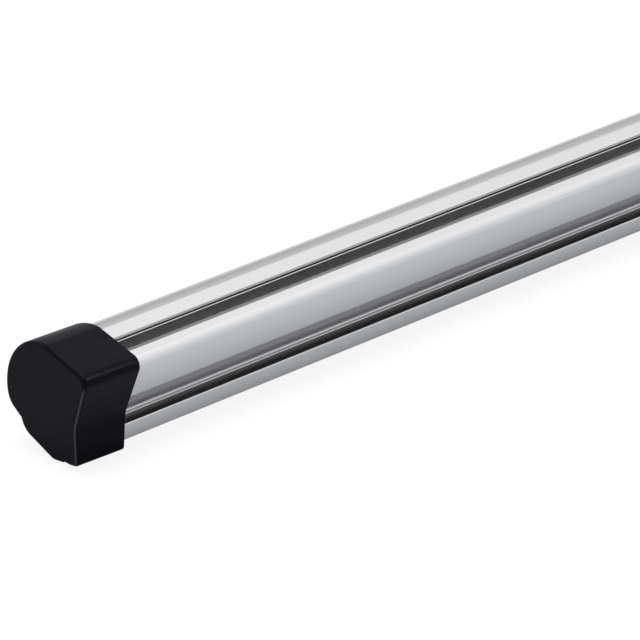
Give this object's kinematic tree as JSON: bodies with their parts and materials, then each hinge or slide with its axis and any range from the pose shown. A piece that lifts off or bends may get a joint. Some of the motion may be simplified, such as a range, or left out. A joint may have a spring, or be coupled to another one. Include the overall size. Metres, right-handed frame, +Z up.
{
  "type": "roof rack crossbar",
  "caption": "Roof rack crossbar: hollow aluminium extrusion with a rounded nose, a slot in its top, clamping grooves in its foot rail and moulded sleeve caps on its ends.",
  "frame": {"origin": "centre of the foot slot's mouth on the bar's base, at the middle of the bar's length", "axes": "+X along the bar, +Y towards the rounded nose, +Z up"},
  "size_m": [1.2126, 0.0566, 0.0559],
  "materials": {
    "anodised_aluminium": "satin anodised",
    "cap_plastic": "fine moulded satin"
  },
  "bodies": {
    "root": {"bar_extrusion": "anodised_aluminium", "end_cap_left": "cap_plastic", "end_cap_right": "cap_plastic"}
  },
  "joints": []
}
